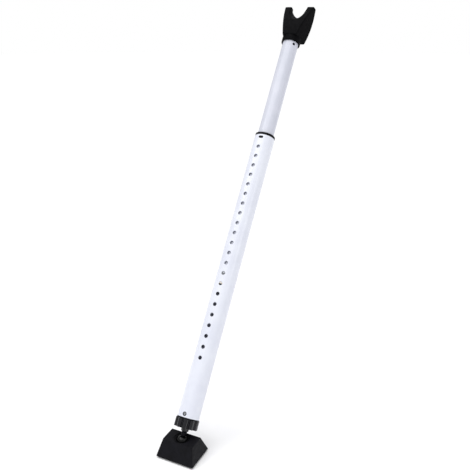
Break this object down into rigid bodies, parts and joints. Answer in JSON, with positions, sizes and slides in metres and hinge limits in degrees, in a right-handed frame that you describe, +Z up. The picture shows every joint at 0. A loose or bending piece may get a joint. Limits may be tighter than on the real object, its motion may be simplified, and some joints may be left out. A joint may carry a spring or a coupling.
{
  "type": "door security bar",
  "caption": "Telescopic steel bar that braces a door: rubber foot on a ball joint, jack knob, row of holes with a snap button, and a forked yoke for the door knob.",
  "frame": {"origin": "centre of the foot's sole, on the floor", "axes": "+Z up; +Y towards the door, the way the bar leans; X along the foot's long side, parallel to the door"},
  "size_m": [0.0706, 0.5335, 0.7208],
  "materials": {
    "white_paint": "white powder coat, satin, on steel tube",
    "black_rubber": "moulded rubber, matte",
    "sole_rubber": "softer moulded rubber, matte",
    "yoke_rubber": "moulded rubber, fine grain",
    "black_nylon": "moulded nylon",
    "knob_plastic": "moulded glass-filled nylon, satin",
    "ball_nylon": "polished nylon",
    "natural_nylon": "natural white nylon",
    "core_nylon": "glass-filled nylon",
    "zinc_steel": "zinc-plated steel",
    "button_steel": "nickel-plated steel",
    "dark_rivet": "black-coated steel",
    "brass": "turned brass"
  },
  "bodies": {
    "foot": {"tread_pad": "sole_rubber", "base_plate": "zinc_steel", "base_screws": "zinc_steel", "foot_block": "black_rubber", "socket_housing": "black_nylon", "retaining_ring": "black_nylon", "ring_screws": "dark_rivet"},
    "cup": {"ball_cup": "natural_nylon"},
    "ball": {"ball": "ball_nylon"},
    "stud": {"jack_stud": "dark_rivet", "shank_clip": "zinc_steel", "stop_nut": "zinc_steel"},
    "outer": {"outer_tube": "white_paint", "end_plug": "black_nylon", "key_disc": "zinc_steel", "plug_screws": "button_steel", "collar_bush": "black_nylon"},
    "knob": {"adjusting_knob": "knob_plastic", "knob_nut": "brass", "knob_circlip": "zinc_steel"},
    "inner": {"inner_tube": "white_paint", "guide_bush": "natural_nylon", "button_spring": "zinc_steel", "yoke_core": "core_nylon", "core_rivets": "dark_rivet", "yoke": "yoke_rubber"},
    "button": {"snap_button": "button_steel"}
  },
  "joints": [
    {"name": "foot_swivel", "type": "hinge", "parent": "foot", "child": "cup", "pos_m": [0, 0, 0.027], "axis": [0, 0, 1], "continuous": true},
    {"name": "foot_tilt", "type": "hinge", "parent": "cup", "child": "ball", "pos_m": [0, 0, 0.027], "axis": [-1, 0, 0], "range_deg": [-78, 6]},
    {"name": "bar_spin", "type": "hinge", "parent": "ball", "child": "stud", "pos_m": [0, 0, 0.027], "axis": [0, 0.5878, 0.809], "continuous": true},
    {"name": "jack_lift", "type": "slide", "parent": "stud", "child": "outer", "axis": [0, 0.5878, 0.809], "range_m": [0, 0.039]},
    {"name": "knob_turn", "type": "hinge", "parent": "outer", "child": "knob", "pos_m": [0, 0, 0.027], "axis": [0, 0.5878, 0.809], "range_deg": [0, 4680]},
    {"name": "tube_slide", "type": "slide", "parent": "outer", "child": "inner", "axis": [0, 0.5878, 0.809], "range_m": [-0.1524, 0.1905]},
    {"name": "button_press", "type": "slide", "parent": "inner", "child": "button", "axis": [0, 0.809, -0.5878], "range_m": [0, 0.0046], "stiffness_N_per_m": 1200, "springref_m": -0.003, "deforming": ["button_spring"]}
  ],
  "couplings": [
    {"joint": "knob_turn", "follows": "jack_lift", "rad_per_m": 2094.4}
  ]
}
